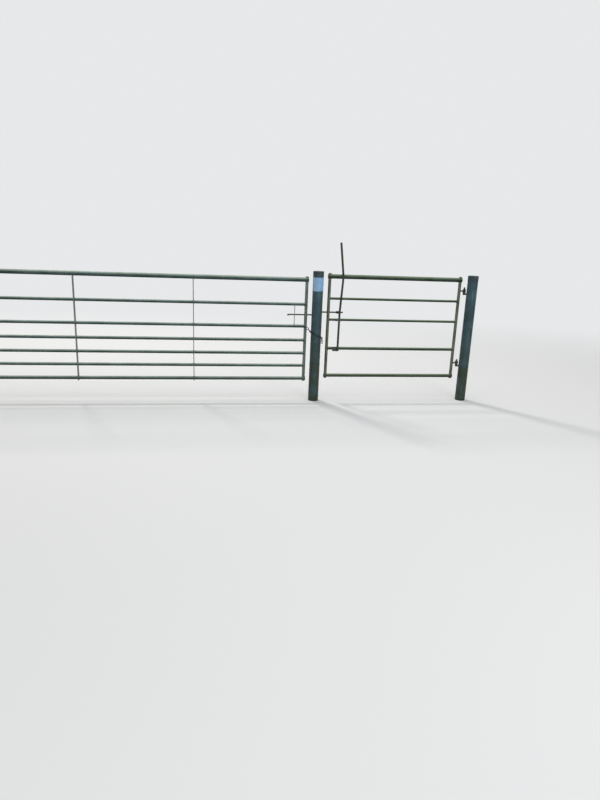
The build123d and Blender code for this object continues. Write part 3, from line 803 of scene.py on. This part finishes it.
def eyeBeads(leaf):
    # the eye's round shank on the hanging stile
    stileX = boxOf(leaf + "_hanging_stile")[2][0]
    beads = []
    for level in ("bottom", "top"):
        middle = boxOf(f"{leaf}_{level}_eye")[2]
        towards = xAxis * np.sign(middle[0] - stileX)
        base = np.array([stileX, leafY, middle[2]])
        shank, size = ironWelds["shankRadius"], ironWelds["eyeBead"]
        beads.append(barBead(base, zAxis, stileRadius, towards, shank, size))
    return beads


def hookBeads():
    # the hook's arm leaves the post towards the pin, at the middle of its knuckle
    beads = []
    for leaf in ("field", "bridle"):
        post = boxOf(leaf + "_hanging_post")[2]
        eye = boxOf(leaf + "_top_eye")
        pin = np.array([eye[0][0] if leaf == "field" else eye[1][0], leafY, 0.0])
        ringRadius = halfSize(leaf + "_top_eye", 1)
        pin[0] += ringRadius if leaf == "field" else -ringRadius
        out = unit(np.array([pin[0] - post[0], leafY - post[1], 0.0]))
        for level in ("bottom", "top"):
            armHeight = boxOf(f"{leaf}_{level}_hook")[0][2] + ironWelds["knuckleHalf"]
            base = np.array([post[0], post[1], armHeight])
            arm, size = ironWelds["armRadius"], ironWelds["hookBead"]
            beads.append(barBead(base, zAxis, postRadius, out, arm, size))
    return beads


def stapleBeads():
    # both legs of each bolt staple, and of the chain's staple, on the shared post
    beads = []
    for node in ("field_bolt_staple", "latch_bolt_staple"):
        low, high, middle = boxOf(node)
        bar = halfSize(node, 0)
        for height in (low[2] + bar, high[2] - bar):
            base = np.array([0.0, 0.0, height])
            beads.append(barBead(base, zAxis, postRadius, yAxis, bar, ironWelds["stapleBead"], -middle[0]))
    low, high, middle = boxOf("chain_staple")
    out, bar = unit(np.array([middle[0], middle[1], 0.0])), ironWelds["chainBar"]
    for height in (low[2] + bar, high[2] - bar):
        base = np.array([0.0, 0.0, height])
        beads.append(barBead(base, zAxis, postRadius, out, bar, ironWelds["stapleBead"]))
    return beads


def studBeads():
    # the chain's stud on the closing stile
    base = np.array([boxOf("field_closing_stile")[2][0], leafY, boxOf("chain_stud")[2][2]])
    return [barBead(base, zAxis, stileRadius, -yAxis, halfSize("chain_stud", 0), ironWelds["studBead"])]


def latchBeads():
    # the lever's guide on its rail, and the pivot plate along the rail behind it
    low, high = boxOf("lever_guide")[:2]
    height, radius = boxOf("bridle_rail_3")[2][2], halfSize("bridle_rail_3", 1)
    halfTurn = math.asin((high[2] - low[2]) / 2 / radius)
    beads = []
    for out, x in ((-xAxis, low[0]), (xAxis, high[0])):
        centre = np.array([x, leafY, height])
        beads.append(ringBead(centre, out, -yAxis, radius, ironWelds["guideBead"], halfTurn))
    low, high = boxOf("lever_pivot_bracket")[:2]
    height, radius = boxOf("bridle_rail_2")[2][2], halfSize("bridle_rail_2", 1)
    inset, lift = ironWelds["plateInset"], ironWelds["plateLift"]
    for upward in (1.0, -1.0):
        depth = leafY - radius * math.sqrt(1.0 - lift ** 2)
        start = np.array([low[0] + inset, depth, height + upward * lift * radius])
        end = np.array([high[0] - inset, depth, height + upward * lift * radius])
        normal = np.array([0.0, ironWelds["plateLean"], upward])
        beads.append(lineBead(start, end, normal, ironWelds["plateBead"]))
    return beads


beadPart("field_eye_welds", eyeBeads("field"), "field_gate", "railWeld")
beadPart("bridle_eye_welds", eyeBeads("bridle"), "bridle_gate", "bridleWeld")
beadPart("post_welds", hookBeads() + stapleBeads(), "posts", "postWeld")
beadPart("stud_weld", studBeads(), "field_gate", "railWeld")
beadPart("latch_welds", latchBeads(), "bridle_gate", "bridleWeld")


# Domed plugs in the stiles and over the wide rails' ends
plugLook = {"rise": 0.0028, "rim": 0.0022, "rings": 9, "columns": 40, "edge": 0.0016, "crown": 0.97,
            "inset": 0.0022}


def domeOver(centre, out, radius, look):
    # a low rim and then a dome: radius x cos t out to the side, rise x sin t along out
    side = unit(np.cross(out, np.roll(np.abs(out), 1)))
    t = np.linspace(0.0, math.pi / 2 * look["crown"], look["rings"])
    radii = np.concatenate([[radius, radius, radius - look["edge"]], (radius - look["edge"]) * np.cos(t)])
    dome = look["edge"] / 2 + look["rise"] * np.sin(t)
    lifts = np.concatenate([[-look["rim"], 0.0, look["edge"] / 2], dome])
    around = np.linspace(0.0, 2 * math.pi, look["columns"], endpoint=False)
    ring = np.stack([np.cos(around), np.sin(around)], axis=-1)
    path = centre + lifts[:, None] * out
    shape = path.shape
    return ringsAlong(path, np.broadcast_to(side, shape), np.broadcast_to(np.cross(out, side), shape),
                      radii[:, None, None] * ring[None])


def plugGrids(leaf):
    # both ends of both stiles, and both ends of each rail that is wider than the stiles
    grids = []
    for stile in ("_closing_stile", "_hanging_stile"):
        low, high, middle = boxOf(leaf + stile)
        for out, z in ((zAxis, high[2]), (-zAxis, low[2])):
            centre = np.array([middle[0], middle[1], z])
            grids.append(domeOver(centre, out, stileRadius - plugLook["inset"], plugLook))
    for number in range(1, railCounts[leaf] + 1):
        rail = f"{leaf}_rail_{number}"
        low, high, middle = boxOf(rail)
        radius = halfSize(rail, 1)
        if radius > stileRadius * gateWelds["wideOver"]:
            for out, x in ((-xAxis, low[0]), (xAxis, high[0])):
                centre = np.array([x, middle[1], middle[2]])
                grids.append(domeOver(centre, out, radius - plugLook["inset"], plugLook))
    return grids


for leafName, plugFinish in (("field", "railWeld"), ("bridle", "bridleWeld")):
    plugs = plugGrids(leafName)
    surfacePart(leafName + "_tube_plugs", plugs, leafName + "_gate", plugFinish,
                [False] * len(plugs))


# Rivet heads over the lever's pivot pin and the bolt's drive pin
rivetLook = {"rise": 0.0030, "rim": 0.0010, "rings": 9, "columns": 32, "edge": 0.0010, "crown": 0.97,
             "radius": 0.0097, "faceDepth": 0.0002}


def rivetOn(name, node, body):
    # a dome over the pin's flat head, which is the node's foremost face
    corners = np.empty(len(nodes[node].data.vertices) * 3)
    nodes[node].data.vertices.foreach_get("co", corners)
    corners = corners.reshape(-1, 3)
    face = corners[corners[:, 1] < corners[:, 1].min() + rivetLook["faceDepth"]]
    centre = (face.min(axis=0) + face.max(axis=0)) / 2
    grid = domeOver(centre, -yAxis, rivetLook["radius"], rivetLook)
    surfacePart(name, [grid], body, "iron", [False])


rivetOn("pivot_rivet", "lever_pivot_bracket", "bridle_gate")
rivetOn("drive_rivet", "latch_bolt", "latch_bolt")


# Chain: each link of the frame's chain is measured and made again as bent and welded wire
linkLook = {"rings": 72, "columns": 14, "weldSwell": 0.16, "weldLength": 0.0022, "crownWear": 0.14,
            "dent": 0.02, "dentWaves": 5, "mergeDecimals": 6, "seed": 29}
linkRandom = np.random.default_rng(linkLook["seed"])


def linksOf(node):
    # corners that lie at one place are one corner, and each takes the lowest number in its link
    mesh = nodes[node].data
    corners = np.empty(len(mesh.vertices) * 3)
    mesh.vertices.foreach_get("co", corners)
    rounded = np.round(corners.reshape(-1, 3), linkLook["mergeDecimals"])
    places, same = np.unique(rounded, axis=0, return_inverse=True)
    loops = np.empty(len(mesh.loops), dtype=int)
    mesh.loops.foreach_get("vertex_index", loops)
    triangles = same.reshape(-1)[loops].reshape(-1, 3)
    labels, changed = np.arange(len(places)), True
    while changed:
        lowest = labels[triangles].min(axis=1)
        spread = labels.copy()
        for corner in range(3):
            np.minimum.at(spread, triangles[:, corner], lowest)
        spread = spread[spread]
        changed = bool((spread != labels).any())
        labels = spread
    return [places[triangles[labels[triangles[:, 0]] == label]] for label in np.unique(labels)]


def frameOfLink(triangles):
    # middle, three directions and three sizes: the directions of spread of its area, longest first
    middles = triangles.mean(axis=1)
    sides = np.cross(triangles[:, 1] - triangles[:, 0], triangles[:, 2] - triangles[:, 0])
    weights = np.linalg.norm(sides, axis=1)
    centre = (middles * weights[:, None]).sum(axis=0) / weights.sum()
    spread = ((middles - centre) * weights[:, None]).T @ (middles - centre)
    axes = np.linalg.eigh(spread)[1][:, ::-1].T
    axes[2] = np.cross(axes[0], axes[1])
    reach = (triangles.reshape(-1, 3) - centre) @ axes.T
    return centre, axes, reach.max(axis=0) - reach.min(axis=0)


def linkGrid(triangles):
    # an oval of two straights and two half circles, as a wire that swells at its weld, is rubbed thin
    # inside its crowns and is slightly dented: radius x (1 + swell - rub + dent)
    centre, axes, sizes = frameOfLink(triangles)
    wire = sizes[2] / 2
    bend = sizes[1] / 2 - wire
    straight = sizes[0] - sizes[1]
    half = straight + math.pi * bend
    s = 2 * half * np.arange(linkLook["rings"]) / linkLook["rings"]
    mirrored = np.where(s < half, 1.0, -1.0)
    q = s % half
    turn = np.clip((q - straight) / bend, 0.0, math.pi)
    x = mirrored * (-straight / 2 + np.minimum(q, straight) + bend * np.sin(turn))
    y = mirrored * -bend * np.cos(turn)
    out = np.stack([mirrored * np.sin(turn), mirrored * -np.cos(turn)], axis=1) @ axes[:2]
    path = centre + np.stack([x, y], axis=1) @ axes[:2]
    around = np.linspace(0.0, 2 * math.pi, linkLook["columns"], endpoint=False)
    weld = linkLook["weldSwell"] * np.exp(-((s - straight / 2) / linkLook["weldLength"]) ** 2)
    crown = np.sin(turn) ** 2
    rub = linkLook["crownWear"] * crown[:, None] * np.maximum(-np.cos(around), 0.0) ** 2
    phases = linkRandom.uniform(0.0, 2 * math.pi, 2)
    dents = np.sin(linkLook["dentWaves"] * math.pi * s / half + phases[0])
    dent = linkLook["dent"] * (dents[:, None] * np.sin(2 * around + phases[1]))
    radius = wire * (1.0 + weld[:, None] - rub + dent)
    outline = radius[..., None] * np.stack([np.cos(around), np.sin(around)], axis=-1)
    tangent = unit(np.roll(path, -1, axis=0) - np.roll(path, 1, axis=0))
    return ringsAlong(path, out, np.cross(tangent, out), outline)


links = [linkGrid(triangles) for triangles in linksOf("gate_chain")]
chain = surfacePart("chain_links", links, "posts", "chain", [True] * len(links))
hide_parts("gate_chain")


# Marker tape round the shared post, lapped over itself at the back
tapeShape = {"lapFrom": 104.0, "lapTurn": 26.0, "lapStep": 0.16, "rings": 200, "wave": 0.0009,
             "waves": (3, 7), "wavePhase": 0.6, "secondWave": 0.5, "outline": 24, "square": 5.0,
             "gap": 0.0002, "edgeShare": 0.7}


def tapeGrid(shape):
    # a flat strip carried once round the post and on over its own start: radius = inner + half the
    # thickness + one thickness x a smooth step, with an outline |a|^n + |b|^n = 1
    thickness = halfSize("marker_band", 0) - postRadius - shape["gap"]
    start = math.radians(shape["lapFrom"])
    end = start + 2 * math.pi + math.radians(shape["lapTurn"])
    turn = np.linspace(start, end, shape["rings"])
    rise = np.clip((turn - start - 2 * math.pi) / shape["lapStep"] + 1.0, 0.0, 1.0)
    rise = rise ** 2 * (3 - 2 * rise)
    radius = halfSize("marker_band", 0) - thickness / 2 + thickness * rise
    radial = np.stack([np.cos(turn), np.sin(turn), np.zeros_like(turn)], axis=1)
    path = radius[:, None] * radial + np.array([0.0, 0.0, bandMiddle[2]])
    around = np.linspace(0.0, 2 * math.pi, shape["outline"], endpoint=False)
    power = 2 / shape["square"]
    a = thickness / 2 * np.sign(np.cos(around)) * np.abs(np.cos(around)) ** power
    half = (bandHigh[2] - bandLow[2]) / 2
    b = half * np.sign(np.sin(around)) * np.abs(np.sin(around)) ** power
    edge = np.sign(b) * (np.abs(b) > shape["edgeShare"] * half)
    slow, quick = shape["waves"]
    ripple = np.sin(slow * turn + shape["wavePhase"]) + shape["secondWave"] * np.sin(quick * turn)
    wave = shape["wave"] * ripple
    outline = np.stack(np.broadcast_arrays(a, b + wave[:, None] * edge), axis=-1)
    return ringsAlong(path, radial, np.broadcast_to(zAxis, path.shape), outline)


tape = surfacePart("marker_tape", [tapeGrid(tapeShape)[::-1]], "posts", "tape", [False])
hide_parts("marker_band")
